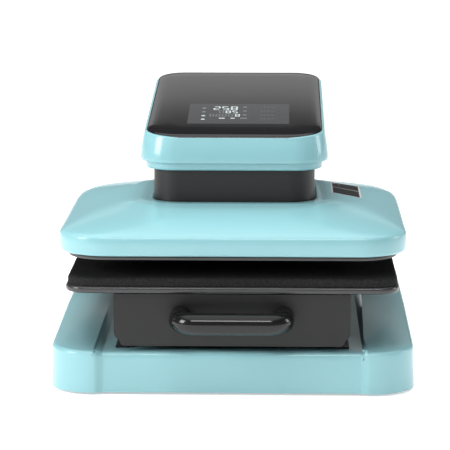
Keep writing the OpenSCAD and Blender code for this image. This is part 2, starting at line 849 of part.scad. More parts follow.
// One flank: half the tooth's angle at each of several radii from the root to the tip
function flank(teeth, root, base, tip, side) = [
    for (i = [0 : 4])
        let (r = base + (tip - base) * i / 4)
        let (half = 90 / teeth - backlash * 90 / PI / (gear_module * teeth / 2) + involute(20)
            - involute(acos(base / r)))
        polar(i == 0 ? root : r, side * half)
];

function turned(points, a) = [for (p = points)
    [p[0] * cos(a) - p[1] * sin(a), p[0] * sin(a) + p[1] * cos(a)]];

module gear_outline(teeth) {
    pitch = gear_module * teeth / 2;
    root = pitch - 1.25 * gear_module;
    base = pitch * cos(20);
    tip = pitch + gear_module;
    right = flank(teeth, root, base, tip, -1);
    left = flank(teeth, root, base, tip, 1);
    tooth = concat(right, [for (i = [4 : -1 : 0]) left[i]]);
    polygon([for (k = [0 : teeth - 1]) each turned(tooth, k * 360 / teeth)]);
}

module screw_gear() {
    color("silver") placed() translate([0, press_y, gear_z]) difference() {
        linear_extrude(gear_h) rotate(90) gear_outline(gear_teeth);
        translate([0, 0, -cut]) cylinder(r = journal_r, h = gear_h + 2 * cut);
        for (a = [0 : 60 : 300]) rotate(a) translate([15, 0, -cut]) cylinder(r = 4, h = gear_h + 2 * cut);
    }
}

module motor_pinion() {
    phase = 180 / pinion_teeth;
    color("gold") placed() translate([0, motor_y, gear_z]) {
        difference() {
            linear_extrude(gear_h) rotate(-90 + phase) gear_outline(pinion_teeth);
            translate([0, 0, -cut]) cylinder(r = pinion_bore, h = gear_h + 2 * cut);
        }
        translate([0, 0, -8]) difference() {
            cylinder(r = 7, h = 8);
            translate([0, 0, -cut]) cylinder(r = pinion_bore, h = 8 + 2 * cut);
        }
    }
}

// Can and gearbox of the motor, which hangs under the arm, with the bore its shaft turns in
module gear_motor() {
    can_h = motor_h - 22;
    color("silver") placed() translate([0, motor_y, arm_z - motor_h]) difference() {
        union() {
            cylinder(d = motor_d - 2, h = can_h);
            translate([0, 0, can_h]) cylinder(d = motor_d, h = motor_h - can_h);
            translate([0, 0, -4]) cylinder(r = 6, h = 4);
        }
        translate([0, 0, motor_h - shaft_depth]) cylinder(r = pinion_bore + running, h = shaft_depth + cut);
    }
}

module motor_shaft() {
    bottom = arm_z - shaft_depth + 0.5;
    color("silver") placed() translate([0, motor_y, bottom])
        cylinder(r = pinion_bore, h = gear_z + gear_h + 2 - bottom);
}

module screw_bearing() {
    color("silver") placed() translate([0, press_y, 0]) difference() {
        union() {
            translate([0, 0, arm_z - 4]) cylinder(r = bearing_r + 4, h = 4);
            translate([0, 0, arm_z]) cylinder(r = bearing_r, h = arm_t + 4);
        }
        translate([0, 0, arm_z - 4 - cut]) cylinder(r = journal_r + running, h = arm_t + 8 + 2 * cut);
    }
}

// Screw with a plain journal above its shoulder; its thread is shown as its outer diameter
module lead_screw() {
    shoulder = arm_z - 4.2;
    color("silver") placed() translate([0, press_y, 0]) {
        translate([0, 0, screw_z]) cylinder(d = screw_d, h = shoulder - screw_z);
        translate([0, 0, shoulder]) cylinder(r = journal_r, h = gear_z + gear_h + 6 - shoulder);
    }
}

module gear_nut() {
    color("silver") placed() translate([0, press_y, gear_z + gear_h]) difference() {
        cylinder(r = 10, h = 5, $fn = 6);
        translate([0, 0, -cut]) cylinder(r = journal_r, h = 5 + 2 * cut);
    }
}

module guide_bushings() {
    color("gold") placed() at_corners(rod_x, rod_y) difference() {
        union() {
            translate([0, 0, bush_z]) cylinder(r = bush_r, h = bush_h);
            translate([0, 0, arm_z - 3]) cylinder(r = bush_r + 2.5, h = 3);
        }
        translate([0, 0, bush_z - cut]) cylinder(r = rod_d / 2 + running, h = bush_h + 2 * cut);
    }
}

module guide_rods() {
    color("silver") placed() at_corners(rod_x, rod_y) {
        translate([0, 0, plate_top - 3]) cylinder(d = rod_d, h = rod_top - plate_top + 3);
    }
}

module screw_nut() {
    color("gold") placed() translate([0, press_y, plate_top]) difference() {
        union() {
            cylinder(r = nut_flange_r, h = 6);
            cylinder(r = nut_r, h = nut_h);
        }
        translate([0, 0, -cut]) cylinder(r = screw_d / 2 + running, h = nut_h + 2 * cut);
        for (a = [45 : 90 : 315]) rotate(a) translate([20, 0, -cut]) cylinder(r = 2, h = 6 + 2 * cut);
    }
}

// ---- heating head ----

module pressure_plate() {
    color("dimgray") placed() difference() {
        plate(plate_w, press_y - plate_w / 2, press_y + plate_w / 2, plate_z, plate_t, 12);
        translate([0, press_y, plate_z - cut]) cylinder(r = screw_d / 2 + 2, h = plate_t + 2 * cut);
        at_corners(rod_x, rod_y) translate([0, 0, plate_top - 3]) cylinder(d = rod_d, h = 3 + cut);
        at_corners(boss_x, boss_x) translate([0, 0, plate_z - cut])
            cylinder(r = m5_r + fit, h = plate_t + 2 * cut);
        at_corners(boss_x, 40) translate([0, 0, plate_z - cut])
            cylinder(r = m5_r + fit, h = plate_t + 2 * cut);
    }
}

module at_thermostat() {
    translate([heater_w / 2 - 16, press_y + 60, insul_z]) children();
}

module insulation_board() {
    back = press_y + insul_w / 2;
    color("white") placed() difference() {
        plate(insul_w, press_y - insul_w / 2, back, insul_z, insul_t, heater_r - insul_inset);
        at_corners(boss_x, boss_x) translate([0, 0, insul_z - cut]) cylinder(r = 6, h = insul_t + 2 * cut);
        at_corners(boss_x, 40) translate([0, 0, insul_z - cut])
            cylinder(r = m5_r + fit, h = insul_t + 2 * cut);
        at_thermostat() translate([0, 0, -cut]) cylinder(r = 11, h = insul_t + 2 * cut);
        box(-13, 13, back - 22, back - 8, insul_z - cut, insul_z + insul_t + cut);
    }
}

// The tube heater's path: straight runs joined by half turns, laid in the top of the platen
runs = 5;
run_gap = 60;
run_half = heater_w / 2 - run_gap / 2 - 26;

module along_runs(w, z, h, end) {
    for (i = [0 : runs - 1]) {
        y = press_y + (i - (runs - 1) / 2) * run_gap;
        box(-run_half, run_half, y - w / 2, y + w / 2, z, z + h);
    }
    for (i = [0 : runs - 2]) {
        y = press_y + (i + 0.5 - (runs - 1) / 2) * run_gap;
        translate([(i % 2 == 0 ? 1 : -1) * run_half, y, z]) rotate(i % 2 == 0 ? -90 : 90)
            rotate_extrude(angle = 180, $fn = 96) translate([run_gap / 2 - w / 2, 0]) square([w, h]);
    }
}

module heating_platen() {
    color("silver") placed() difference() {
        plate(heater_w, press_y - heater_w / 2, press_y + heater_w / 2, heater_z, heater_t, heater_r);
        along_runs(7.4, insul_z - 6, 6 + cut);
        at_corners(boss_x, 40) translate([0, 0, insul_z - 5]) cylinder(r = m5_r + fit, h = 5 + cut);
    }
}

module heating_element() {
    color("dimgray") placed() along_runs(7, insul_z - 6, 5.8);
}

module heater_skirt() {
    outer = cover_w / 2 - shell_t;
    inner = heater_w / 2 + assembly_gap;
    front = cover_front + shell_t;
    back = cover_back - shell_t;
    color("black") placed() difference() {
        plate(2 * outer, front, back, skirt_z, skirt_h, cover_r - shell_t);
        plate(2 * inner, press_y - inner, press_y + inner, skirt_z - cut, skirt_h + 2 * cut,
            heater_r + assembly_gap);
    }
}

module thermostat() {
    color("silver") placed() at_thermostat() {
        cylinder(r = 9, h = 8);
        translate([0, 0, 8]) cylinder(r = 6, h = 4);
    }
}

module heater_terminals() {
    back = press_y + insul_w / 2;
    color("white") placed() {
        box(-12, 12, back - 21, back - 9, insul_z, insul_z + insul_t + 10);
    }
}

// How far in from the edge each bend of the dome lies, and its share of the dome's rise
dome_bends = [[0, 0], [12, 0.26], [50, 0.72], [90, 1]];

// Section through the cover between two edges
module dome_section(near, far, low, inset) {
    far_side = [for (b = dome_bends) [far - b[0], dome_z + b[1] * dome_h - inset]];
    near_side = [for (b = dome_bends) [near + b[0], dome_z + b[1] * dome_h - inset]];
    last = len(dome_bends) - 1;
    polygon(concat([[near, low], [far, low]], far_side, [for (i = [last : -1 : 0]) near_side[i]]));
}

// Outside form of the cover, or the space inside its wall when inset by the wall
module cover_form(inset) {
    half = cover_w / 2 - inset;
    front = cover_front + inset;
    back = cover_back - inset;
    low = rim_z - 2 * inset;
    intersection() {
        plate(2 * half, front, back, low, cover_top - inset - low, cover_r - inset);
        across(cover_w) dome_section(front, back, low, inset);
        translate([0, back + cut, 0]) rotate([90, 0, 0]) linear_extrude(back - front + 2 * cut)
            dome_section(-half, half, low, inset);
    }
}

module press_cover() {
    open_w = neck_w + 2 * neck_gap;
    open_front = press_y - neck_d / 2 - neck_gap;
    open_back = press_y + neck_d / 2 + neck_gap;
    color(mint) placed() difference() {
        union() {
            difference() {
                cover_form(0);
                cover_form(shell_t);
            }
            intersection() {
                cover_form(1);
                at_corners(boss_x, boss_x) translate([0, 0, plate_top]) cylinder(r = 6, h = cover_top);
            }
        }
        translate([0, 0, plate_top]) linear_extrude(cover_top)
            plan(open_w, open_front, open_back, neck_r + neck_gap, neck_r + neck_gap);
        at_corners(boss_x, boss_x) translate([0, 0, plate_top - cut]) cylinder(r = m5_r + fit, h = 12);
    }
}

module cover_screws() {
    color("silver") placed() {
        at_corners(boss_x, boss_x) translate([0, 0, plate_z]) mirror([0, 0, 1])
            screw(m5_r, plate_t + 9, 4.5, 3);
        at_corners(boss_x, 40) translate([0, 0, plate_top]) screw(m5_r, plate_t + insul_t + 4, 4.5, 3);
    }
}

base_shell();
base_pan();
feet();
base_frame();
pan_screws();
rail_brackets();
rail_screws();
slide_outer_left();
slide_outer_right();
slide_mid_left();
slide_mid_right();
slide_inner_left();
slide_inner_right();
drawer_tray();
drawer_front();
handle();
handle_screws();
platen_spacers();
platen_screws();
lower_platen();
press_pad();
drawer_sensor();
column_posts();
column_shell();
column_back_cover();
back_cover_screws();
mains_inlet();
switch_housing();
power_rocker();
power_board();
arm_frame();
arm_bolts();
head_lower_shell();
head_shell();
head_screws();
glass_panel();
display_module();
control_board();
neck_sleeve();
neck_screws();
gear_motor();
motor_shaft();
motor_pinion();
screw_bearing();
lead_screw();
screw_gear();
gear_nut();
guide_bushings();
guide_rods();
screw_nut();
pressure_plate();
insulation_board();
heating_platen();
heating_element();
heater_skirt();
thermostat();
heater_terminals();
press_cover();
cover_screws();
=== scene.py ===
# %% [markdown]
# # A benchtop heat press
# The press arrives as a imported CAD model: a base, a C-shaped frame, a drawer that carries the padded lower
# platen, and a head whose motor lowers a heated platen under a domed cover. The CAD holds the sizes and the
# motion. This notebook gives the press its looks: it models the moulded shells again with soft edges, and
# makes a finish for every piece. All lengths are in metres, in the frame of the CAD.

# %% Load the frame
import json
import math

import bmesh
import bpy
from mathutils import Matrix, Vector
from mathutils.bvhtree import BVHTree


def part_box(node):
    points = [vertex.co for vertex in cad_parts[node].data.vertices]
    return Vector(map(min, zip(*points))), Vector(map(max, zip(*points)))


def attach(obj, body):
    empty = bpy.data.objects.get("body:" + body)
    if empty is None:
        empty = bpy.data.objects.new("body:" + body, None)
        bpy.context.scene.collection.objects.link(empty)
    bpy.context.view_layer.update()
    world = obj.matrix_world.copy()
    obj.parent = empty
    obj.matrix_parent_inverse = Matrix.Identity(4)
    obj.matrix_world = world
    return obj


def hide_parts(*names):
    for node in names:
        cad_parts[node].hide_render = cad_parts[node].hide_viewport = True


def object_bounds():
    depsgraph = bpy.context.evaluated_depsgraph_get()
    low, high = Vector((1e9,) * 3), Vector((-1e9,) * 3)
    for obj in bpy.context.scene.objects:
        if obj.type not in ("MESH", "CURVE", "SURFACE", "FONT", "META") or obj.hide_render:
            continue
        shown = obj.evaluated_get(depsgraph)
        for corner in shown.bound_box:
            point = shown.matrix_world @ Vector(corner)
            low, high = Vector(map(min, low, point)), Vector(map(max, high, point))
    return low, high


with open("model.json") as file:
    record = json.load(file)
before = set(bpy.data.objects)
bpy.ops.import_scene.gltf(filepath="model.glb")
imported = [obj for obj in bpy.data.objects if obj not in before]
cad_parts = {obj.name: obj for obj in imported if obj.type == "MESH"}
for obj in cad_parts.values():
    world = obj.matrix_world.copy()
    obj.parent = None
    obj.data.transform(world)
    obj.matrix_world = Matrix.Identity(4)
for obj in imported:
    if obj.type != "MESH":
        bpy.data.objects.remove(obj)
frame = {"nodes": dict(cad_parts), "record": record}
cad_low, cad_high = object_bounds()
MM = 0.001
print("CAD box", [round(x, 4) for x in cad_low], [round(x, 4) for x in cad_high])

# %% [markdown]
# ## Where things are
# Every size comes from the box of a CAD node, so a change in the CAD moves the looks with it. The middle of
# the lower platen is the press's own centre: the neck, the cover and the heater are all laid out about it.

# %% Places taken from the CAD
base_low, base_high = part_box("base_shell")
platen_low, platen_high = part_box("lower_platen")
pad_low, pad_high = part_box("press_pad")
cover_low, cover_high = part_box("press_cover")
skirt_low, skirt_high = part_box("heater_skirt")
neck_low, neck_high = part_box("neck_sleeve")
lip_low, lip_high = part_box("head_lower_shell")
head_low, head_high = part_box("head_shell")
glass_low, glass_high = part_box("glass_panel")
grip_low, grip_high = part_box("handle")
centre_y = (platen_low.y + platen_high.y) / 2
floor_z = cad_low.z
print("press centre", round(centre_y, 4), "base", [round(x, 4) for x in base_high - base_low])

# %% [markdown]
# ## Camera and light
# A long lens far away keeps the sides of the head nearly parallel. The room is a pale studio whose glass
# reflections come from two zones: a light one near the horizon, and a dark one above it. A large softbox
# stands at the front left and a smaller one lights the right edge. Three fills that leave no mirror image
# reach the tops and the deck, and a strip above the front is seen only in reflections.

# %% Camera
camera_data = bpy.data.cameras.new("camera")
camera_data.lens = 184
camera_data.sensor_width = 36
camera = bpy.data.objects.new("camera", camera_data)
camera.location = (0.0569, -2.7714, 0.6451)
camera.rotation_euler = (math.radians(90 - 9.96), 0, math.radians(1.45))
bpy.context.scene.collection.objects.link(camera)
bpy.context.scene.camera = camera
bpy.context.scene.view_settings.view_transform = "Standard"


# %% Lights
def soft_light(name, place, aim, size, power, colour=(1, 1, 1)):
    lamp = bpy.data.lights.new(name, "AREA")
    lamp.shape = "RECTANGLE"
    lamp.size, lamp.size_y = size
    lamp.energy = power
    lamp.color = colour
    thing = bpy.data.objects.new(name, lamp)
    thing.location = place
    thing.rotation_euler = (Vector(aim) - Vector(place)).to_track_quat("-Z", "Y").to_euler()
    bpy.context.scene.collection.objects.link(thing)
    return thing


soft_light("key", (-2.0, -1.1, 1.0), (0, 0, 0.12), (0.8, 1.0), 36)
soft_light("rim_right", (2.2, 0.3, 0.7), (0, 0, 0.1), (0.6, 0.8), 9)
soft_light("deck_left", (-0.9, -2.1, 1.1), (0, -0.1, 0.05), (0.9, 0.4), 7).visible_glossy = False
soft_light("deck_right", (1.0, -2.2, 0.9), (0.1, -0.1, 0.05), (0.6, 0.3), 2.5).visible_glossy = False
soft_light("top_fill", (-0.3, 0.1, 2.4), (0, 0, 0.1), (1.6, 1.6), 52).visible_glossy = False
soft_light("strip", (0, -1.3, 1.15), (0, -0.26, 0.09), (1.3, 0.22), 12).visible_diffuse = False


def studio_world():
    """Dim below, a light band up to just above the horizon, a dark zone over it, and light overhead."""
    world = bpy.data.worlds.new("studio")
    bpy.context.scene.world = world
    world.use_nodes = True
    nodes, links = world.node_tree.nodes, world.node_tree.links
    background = nodes["Background"]
    place = nodes.new("ShaderNodeTexCoord")
    split = nodes.new("ShaderNodeSeparateXYZ")
    ramp = nodes.new("ShaderNodeValToRGB")
    links.new(place.outputs["Generated"], split.inputs[0])
    links.new(split.outputs["Z"], ramp.inputs["Fac"])
    links.new(ramp.outputs["Color"], background.inputs["Color"])
    levels = ((0.22, 0.14), (0.28, 0.66), (0.319, 0.54), (0.331, 0.05), (0.66, 0.08), (0.86, 1.5))
    for height, _ in levels[2:]:
        ramp.color_ramp.elements.new(height)
    for element, (height, level) in zip(ramp.color_ramp.elements, levels):
        element.position = height
        element.color = (level, level, level, 1)
    background.inputs["Strength"].default_value = 1.0


studio_world()
print("lens", camera_data.lens, "camera", tuple(camera.location))

# %% [markdown]
# ## Effects that several finishes share
# Real paint and plastic aren't one flat value. Three small groups give that: fine grain for paint and
# moulded skins, a woven cloth, and long brush marks for metal. Each puts out masks and heights only, and the
# material decides what to do with them.


# %% Node group helpers
def new_group(name, inputs, outputs):
    """A shader group with float inputs {name: default} and outputs {name: socket type}."""
    group = bpy.data.node_groups.new(name, "ShaderNodeTree")
    for label, value in inputs.items():
        socket = group.interface.new_socket(label, in_out="INPUT", socket_type="NodeSocketFloat")
        socket.default_value = value
    for label, kind in outputs.items():
        group.interface.new_socket(label, in_out="OUTPUT", socket_type=kind)
    return group, group.nodes.new("NodeGroupInput"), group.nodes.new("NodeGroupOutput")


def math_node(tree, operation, a, b):
    """A math node; a and b are sockets or numbers."""
    node = tree.nodes.new("ShaderNodeMath")
    node.operation = operation
    for socket, value in zip(node.inputs, (a, b)):
        if isinstance(value, (int, float)):
            socket.default_value = value
        else:
            tree.links.new(value, socket)
    return node.outputs[0]


def object_place(tree):
    return tree.nodes.new("ShaderNodeTexCoord").outputs["Object"]


# %% Grain: fine skin texture and broad, faint smudges
def grain_group():
    tree, given, out = new_group(
        "grain",
        {"Scale": 900.0, "Smudge Scale": 14.0},
        {"Height": "NodeSocketFloat", "Smudge": "NodeSocketFloat"},
    )
    place = object_place(tree)
    for label, scale, detail in (("Height", "Scale", 2.0), ("Smudge", "Smudge Scale", 1.5)):
        noise = tree.nodes.new("ShaderNodeTexNoise")
        noise.inputs["Detail"].default_value = detail
        tree.links.new(place, noise.inputs["Vector"])
        tree.links.new(given.outputs[scale], noise.inputs["Scale"])
        tree.links.new(noise.outputs["Fac"], out.inputs[label])
    return tree


GRAIN = grain_group()


# %% Weave: warp and weft threads that pass over and under each other
def weave_group():
    outputs = {"Height": "NodeSocketFloat", "Gap": "NodeSocketFloat"}
    tree, given, out = new_group("weave", {"Threads": 900.0}, outputs)
    split = tree.nodes.new("ShaderNodeSeparateXYZ")
    tree.links.new(object_place(tree), split.inputs[0])
    turn = math_node(tree, "MULTIPLY", given.outputs["Threads"], math.pi)
    waves = []
    for axis in ("X", "Y"):
        phase = math_node(tree, "MULTIPLY", split.outputs[axis], turn)
        waves.append(math_node(tree, "SINE", phase, 0.0))
    crossing = math_node(tree, "MULTIPLY", waves[0], waves[1])
    over = math_node(tree, "ABSOLUTE", crossing, 0.0)
    height = math_node(tree, "ADD", over, math_node(tree, "MULTIPLY", crossing, 0.4))
    tree.links.new(height, out.inputs["Height"])
    tree.links.new(math_node(tree, "SUBTRACT", 1.0, over), out.inputs["Gap"])
    return tree


WEAVE = weave_group()


# %% Brush: marks drawn out along one axis
def brush_group():
    tree, given, out = new_group("brush", {"Scale": 60.0}, {"Mark": "NodeSocketFloat"})
    stretch = tree.nodes.new("ShaderNodeMapping")
    stretch.inputs["Scale"].default_value = (1.0, 30.0, 30.0)
    noise = tree.nodes.new("ShaderNodeTexNoise")
    noise.inputs["Detail"].default_value = 4.0
    tree.links.new(object_place(tree), stretch.inputs["Vector"])
    tree.links.new(stretch.outputs[0], noise.inputs["Vector"])
    tree.links.new(given.outputs["Scale"], noise.inputs["Scale"])
    tree.links.new(noise.outputs["Fac"], out.inputs["Mark"])
    return tree


BRUSH = brush_group()
print("groups", [g.name for g in (GRAIN, WEAVE, BRUSH)])

# %% [markdown]
# ## Finishes
# A finish is a Principled shader whose constant values sit on its own sockets. What varies over the surface,
# such as a faint change of roughness where hands and cloths pass, comes in through a ramp.


# %% Helpers for finishes
def place_group(tree, group, **values):
    node = tree.nodes.new("ShaderNodeGroup")
    node.node_tree = group
    for label, value in values.items():
        node.inputs[label.replace("_", " ")].default_value = value
    return node


def ramp_between(tree, mask, low, high, start=0.15, stop=0.85):
    """A ramp from low to high as mask goes from start to stop; low and high are RGB or a grey number."""
    ramp = tree.nodes.new("ShaderNodeValToRGB")
    for element, position, value in zip(ramp.color_ramp.elements, (start, stop), (low, high)):
        element.position = position
        element.color = (*value, 1) if isinstance(value, tuple) else (value, value, value, 1)
    tree.links.new(mask, ramp.inputs["Fac"])
    return ramp.outputs["Color"]


def bump(tree, height, strength, distance):
    node = tree.nodes.new("ShaderNodeBump")
    node.inputs["Strength"].default_value = strength
    node.inputs["Distance"].default_value = distance
    tree.links.new(height, node.inputs["Height"])
    return node.outputs["Normal"]


def finish(name, colours, roughness, metallic=0.0, grain=900.0, relief=0.06, depth=0.05 * MM, **sockets):
    """Paint or plastic: two close colours and a range of roughness, both moved by smudges, over grain."""
    material = bpy.data.materials.new(name)
    material.use_nodes = True
    tree = material.node_tree
    shader = tree.nodes["Principled BSDF"]
    texture = place_group(tree, GRAIN, Scale=grain)
    tree.links.new(ramp_between(tree, texture.outputs["Smudge"], *colours), shader.inputs["Base Color"])
    tree.links.new(ramp_between(tree, texture.outputs["Smudge"], *roughness), shader.inputs["Roughness"])
    tree.links.new(bump(tree, texture.outputs["Height"], relief, depth), shader.inputs["Normal"])
    shader.inputs["Metallic"].default_value = metallic
    for label, value in sockets.items():
        shader.inputs[label.replace("_", " ")].default_value = value
    return material


# %% Shells, paint and plastic
mint = finish(
    "mint_gloss", ((0.212, 0.424, 0.458), (0.218, 0.431, 0.465)), (0.27, 0.31), grain=500.0,
    relief=0.03, Specular_IOR_Level=0.35, Coat_Weight=0.35, Coat_Roughness=0.08,
)
black_satin = finish(
    "black_satin_paint", ((0.009, 0.009, 0.0095), (0.012, 0.012, 0.0125)), (0.40, 0.47), grain=2200.0,
    relief=0.10, Specular_IOR_Level=0.35,
)
black_gloss = finish(
    "black_gloss_enamel", ((0.006, 0.006, 0.006), (0.009, 0.009, 0.009)), (0.12, 0.16), grain=300.0,
    relief=0.02, Specular_IOR_Level=0.35,
)
black_plastic = finish(
    "black_plastic", ((0.012, 0.012, 0.012), (0.018, 0.018, 0.018)), (0.45, 0.55), grain=2600.0,
    relief=0.25, Specular_IOR_Level=0.2,
)
powder_coat = finish(
    "black_powder_coat", ((0.014, 0.014, 0.015), (0.019, 0.019, 0.020)), (0.50, 0.62), grain=1500.0,
    relief=0.5, Specular_IOR_Level=0.3,
)
frame_paint = finish(
    "grey_frame_paint", ((0.050, 0.050, 0.053), (0.070, 0.070, 0.073)), (0.48, 0.60), grain=1200.0,
    relief=0.4,
)
platen_enamel = finish(
    "platen_enamel", ((0.024, 0.024, 0.025), (0.034, 0.034, 0.035)), (0.20, 0.28), grain=700.0,
    relief=0.05,
)
heater_coat = finish(
    "heater_non_stick", ((0.035, 0.035, 0.036), (0.055, 0.055, 0.056)), (0.34, 0.44), grain=1800.0,
    relief=0.2,
)
rubber = finish(
    "black_rubber", ((0.014, 0.014, 0.014), (0.022, 0.022, 0.022)), (0.75, 0.88), grain=1600.0,
    relief=0.6,
)
board_green = finish(
    "circuit_board", ((0.010, 0.090, 0.045), (0.016, 0.120, 0.060)), (0.30, 0.45), grain=800.0,
)
mineral = finish(
    "mineral_board", ((0.62, 0.59, 0.52), (0.72, 0.69, 0.62)), (0.80, 0.92), grain=600.0, relief=0.6,
)


# %% Metals
def metal(name, colours, roughness, scale=60.0):
    """Bare metal whose roughness is drawn out in brush marks."""
    material = bpy.data.materials.new(name)
    material.use_nodes = True
    tree = material.node_tree
    shader = tree.nodes["Principled BSDF"]
    marks = place_group(tree, BRUSH, Scale=scale).outputs["Mark"]
    tree.links.new(ramp_between(tree, marks, *colours), shader.inputs["Base Color"])
    tree.links.new(ramp_between(tree, marks, *roughness), shader.inputs["Roughness"])
    tree.links.new(bump(tree, marks, 0.05, 0.05 * MM), shader.inputs["Normal"])
    shader.inputs["Metallic"].default_value = 1.0
    return material


zinc = metal("zinc_plate", ((0.52, 0.54, 0.57), (0.62, 0.63, 0.66)), (0.28, 0.42))
ground_steel = metal("ground_steel", ((0.58, 0.58, 0.59), (0.66, 0.66, 0.67)), (0.16, 0.26), scale=120.0)
black_oxide = metal("black_oxide", ((0.030, 0.030, 0.032), (0.050, 0.050, 0.052)), (0.35, 0.5))
bronze = metal("oiled_bronze", ((0.46, 0.30, 0.12), (0.56, 0.38, 0.17)), (0.25, 0.38))


# %% Cloth of the press pad
def pad_cloth():
    material = bpy.data.materials.new("pad_cloth")
    material.use_nodes = True
    tree = material.node_tree
    shader = tree.nodes["Principled BSDF"]
    weave = place_group(tree, WEAVE, Threads=620.0)
    mottle = place_group(tree, GRAIN, Scale=420.0, Smudge_Scale=60.0)
    tree.links.new(ramp_between(tree, mottle.outputs["Height"], (0.009, 0.009, 0.009), (0.026, 0.026, 0.026)),
                   shader.inputs["Base Color"])
    tree.links.new(ramp_between(tree, weave.outputs["Gap"], 0.85, 0.97), shader.inputs["Roughness"])
    tree.links.new(bump(tree, weave.outputs["Height"], 0.7, 0.3 * MM), shader.inputs["Normal"])
    shader.inputs["Specular IOR Level"].default_value = 0.08
    return material


cloth = pad_cloth()
glass_black = finish(
    "black_glass", ((0.006, 0.006, 0.007), (0.008, 0.008, 0.009)), (0.05, 0.07), grain=200.0,
    relief=0.004,
)
print("finishes", len(bpy.data.materials))

# %% [markdown]
# ## Lofting rounded outlines
# Nearly every shell here is a stack of rounded rectangles: the rim, the dome, the neck, the head. One helper
# places the points of such an outline, always in the same order, and another grows a skin through a stack of
# them by extruding the last loop of edges. Because each outline has the same points, the skin never twists.

# %% Loft helpers
CORNER_STEPS = 14
SIDE_STEPS = 10


def outline(half, front, back, z, front_r, back_r=None, front_stops=None):
    """Points round a rounded rectangle, anticlockwise from the front of the right side."""
    back_r = front_r if back_r is None else back_r
    corners = [
        (half - front_r, front + front_r, front_r, -90),
        (half - back_r, back - back_r, back_r, 0),
        (-half + back_r, back - back_r, back_r, 90),
        (-half + front_r, front + front_r, front_r, 180),
    ]
    points = []
    for x, y, r, start in corners:
        for k in range(CORNER_STEPS + 1):
            a = math.radians(start + 90 * k / CORNER_STEPS)
            points.append(Vector((x + r * math.cos(a), y + r * math.sin(a), z)))
    full = []
    per = CORNER_STEPS + 1
    for i in range(4):
        arc = points[i * per:(i + 1) * per]
        following = points[((i + 1) % 4) * per]
        if i == 3 and front_stops:
            full += arc + [Vector((x, front, z)) for x in front_stops]
        else:
            full += arc + [arc[-1].lerp(following, k / SIDE_STEPS) for k in range(1, SIDE_STEPS)]
    return full


def grow(bm, edges, placed, target):
    """Extrudes a closed loop of edges to target; placed maps each old point to its number."""
    grown = bmesh.ops.extrude_edge_only(bm, edges=edges)["geom"]
    fresh = {v for v in grown if isinstance(v, bmesh.types.BMVert)}
    numbered = {}
    for old, number in placed.items():
        new = next(e.other_vert(old) for e in old.link_edges if e.other_vert(old) in fresh)
        new.co = target[number]
        numbered[new] = number
    new_edges = [e for e in grown if isinstance(e, bmesh.types.BMEdge) and all(v in fresh for v in e.verts)]
    return new_edges, numbered


def loft(stack, close_first=True, close_last=True):
    """A bmesh skin through a stack of outlines."""
    bm = bmesh.new()
    circle = bmesh.ops.create_circle(bm, segments=len(stack[0]), radius=1.0)["verts"]
    placed = {}
    for number, vertex in enumerate(circle):
        vertex.co = stack[0][number]
        placed[vertex] = number
    edges = list(bm.edges)
    if close_first:
        bmesh.ops.contextual_create(bm, geom=edges)
    for target in stack[1:]:
        edges, placed = grow(bm, edges, placed, target)
    if close_last:
        bmesh.ops.contextual_create(bm, geom=edges)
    bmesh.ops.recalc_face_normals(bm, faces=bm.faces)
    return bm


def fillet(r, steps=5, start=0.0):
    """(inset, rise) pairs round a quarter of a circle, from the side of a wall to its top."""
    return [(r * (1 - math.cos(a)), r * math.sin(a))
            for a in (math.radians(start + (90 - start) * k / steps) for k in range(steps + 1))]


# %% Turn a bmesh into a piece of the press
def piece(name, bm, material, body, stands_for=(), sharp=32):
    """Makes the object, marks its sharp edges, gives it a finish and puts it on a CAD body."""
    limit = math.radians(sharp)
    for face in bm.faces:
        face.smooth = True
    for edge in bm.edges:
        edge.smooth = not (len(edge.link_faces) == 2 and edge.calc_face_angle(0) > limit)
    mesh = bpy.data.meshes.new(name)
    bm.to_mesh(mesh)
    bm.free()
    thing = bpy.data.objects.new(name, mesh)
    bpy.context.scene.collection.objects.link(thing)
    mesh.materials.append(material)
    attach(thing, body)
    if stands_for:
        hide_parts(*stands_for)
    print(name, len(mesh.polygons), "faces")
    return thing


# %% [markdown]
# ## Base shell
# The base is one moulding: two shoulders with a level deck between them for the drawer, and a front that
# steps back in the middle. Its plan is lofted upward, so the step can have soft curves, and two cutters shape
# the top: one gives the shoulders their slope, the other opens the deck and leaves a narrow flank beside it.
# The outer top edge is then bevelled all the way round, as the radius of a mould tool would leave it.


# %% Boolean helper
def carve(block, cutter):
    """Cuts one bmesh out of another, and returns the result as a new bmesh."""
    things = []
    for source in (block, cutter):
        mesh = bpy.data.meshes.new("carve")
        source.to_mesh(mesh)
        source.free()
        thing = bpy.data.objects.new("carve", mesh)
        bpy.context.scene.collection.objects.link(thing)
        things.append(thing)
    modifier = things[0].modifiers.new("cut", "BOOLEAN")
    modifier.operation = "DIFFERENCE"
    modifier.solver = "EXACT"
    modifier.object = things[1]
    depsgraph = bpy.context.evaluated_depsgraph_get()
    result = bmesh.new()
    result.from_mesh(things[0].evaluated_get(depsgraph).to_mesh())
    for thing in things:
        mesh = thing.data
        bpy.data.objects.remove(thing)
        bpy.data.meshes.remove(mesh)
    bmesh.ops.dissolve_degenerate(result, dist=1e-6, edges=result.edges)
    return result


def bar_through(sections):
    """A closed bar through several outlines with equally many points."""
    bm = bmesh.new()
    face = bm.faces.new([bm.verts.new(p) for p in sections[0]])
    corners = list(face.verts)
    for section in sections[1:]:
        grown = bmesh.ops.extrude_face_region(bm, geom=[face])["geom"]
        if face.is_valid and section is not sections[1]:
            bmesh.ops.delete(bm, geom=[face], context="FACES_ONLY")
        face = next(g for g in grown if isinstance(g, bmesh.types.BMFace))
        fresh = set(face.verts)
        corners = [next(e.other_vert(v) for e in v.link_edges if e.other_vert(v) in fresh) for v in corners]
        for corner, place in zip(corners, section):
            corner.co = place
    bmesh.ops.recalc_face_normals(bm, faces=bm.faces)
    return bm


